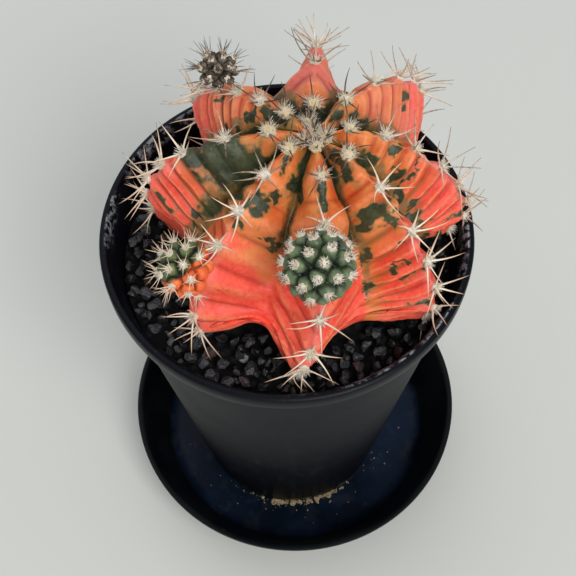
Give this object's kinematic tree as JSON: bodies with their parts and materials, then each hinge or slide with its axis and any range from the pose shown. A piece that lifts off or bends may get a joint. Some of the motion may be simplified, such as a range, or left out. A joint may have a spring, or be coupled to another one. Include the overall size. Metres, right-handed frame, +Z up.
{
  "type": "potted cactus",
  "caption": "Ribbed variegated red and green cactus with woolly spine cushions and small offsets, in a tall round black plastic pot with gravel topping and a matching saucer.",
  "frame": {"origin": "centre of the saucer's flat underside, which stands on the ground", "axes": "+Z up along the pot, +X to the right, and +Y to the back: the green offset is on the front rib, towards -Y"},
  "size_m": [0.1096, 0.1096, 0.1703],
  "materials": {
    "pot_plastic": "greenish black polypropylene, matte, with white lime crust under the lip",
    "saucer_plastic": "black moulded plastic with a satin skin, dusty",
    "soil_mix": "dark brown peat and grit",
    "black_gravel": "angular black and dark grey chippings",
    "cactus_skin": "waxy skin, coral red on the crests, orange on the flanks, mottled olive and dark green",
    "green_skin": "waxy dark green skin",
    "mottled_skin": "waxy skin, dark green mixed with orange yellow",
    "dried_skin": "shrivelled grey brown dead tissue",
    "wool_and_spines": "cream felt and pale tan spines with darker tips"
  },
  "bodies": {
    "root": {"cactus_body": "cactus_skin", "cushion_back_1": "wool_and_spines", "cushion_back_2": "wool_and_spines", "cushion_back_3": "wool_and_spines", "cushion_back_4": "wool_and_spines", "cushion_back_5": "wool_and_spines", "cushion_back_6": "wool_and_spines", "cushion_back_left_1": "wool_and_spines", "cushion_back_left_2": "wool_and_spines", "cushion_back_left_5": "wool_and_spines", "cushion_back_left_6": "wool_and_spines", "cushion_back_left_7": "wool_and_spines", "cushion_back_right_1": "wool_and_spines", "cushion_back_right_2": "wool_and_spines", "cushion_back_right_3": "wool_and_spines", "cushion_back_right_4": "wool_and_spines", "cushion_back_right_5": "wool_and_spines", "cushion_back_right_6": "wool_and_spines", "cushion_front_1": "wool_and_spines", "cushion_front_2": "wool_and_spines", "cushion_front_5": "wool_and_spines", "cushion_front_6": "wool_and_spines", "cushion_front_7": "wool_and_spines", "cushion_front_left_1": "wool_and_spines", "cushion_front_left_2": "wool_and_spines", "cushion_front_left_3": "wool_and_spines", "cushion_front_left_6": "wool_and_spines", "cushion_front_left_7": "wool_and_spines", "cushion_front_right_1": "wool_and_spines", "cushion_front_right_2": "wool_and_spines", "cushion_front_right_3": "wool_and_spines", "cushion_front_right_4": "wool_and_spines", "cushion_front_right_5": "wool_and_spines", "cushion_front_right_6": "wool_and_spines", "cushion_front_right_7": "wool_and_spines", "cushion_left_1": "wool_and_spines", "cushion_left_2": "wool_and_spines", "cushion_left_3": "wool_and_spines", "cushion_left_4": "wool_and_spines", "cushion_left_5": "wool_and_spines", "cushion_left_6": "wool_and_spines", "cushion_left_7": "wool_and_spines", "cushion_right_1": "wool_and_spines", "cushion_right_2": "wool_and_spines", "cushion_right_3": "wool_and_spines", "cushion_right_4": "wool_and_spines", "cushion_right_5": "wool_and_spines", "cushion_right_6": "wool_and_spines", "gravel_topping": "black_gravel", "offset_dried": "dried_skin", "offset_green": "green_skin", "offset_mottled": "mottled_skin", "pot": "pot_plastic", "saucer": "saucer_plastic", "soil_mix": "soil_mix"}
  },
  "joints": []
}
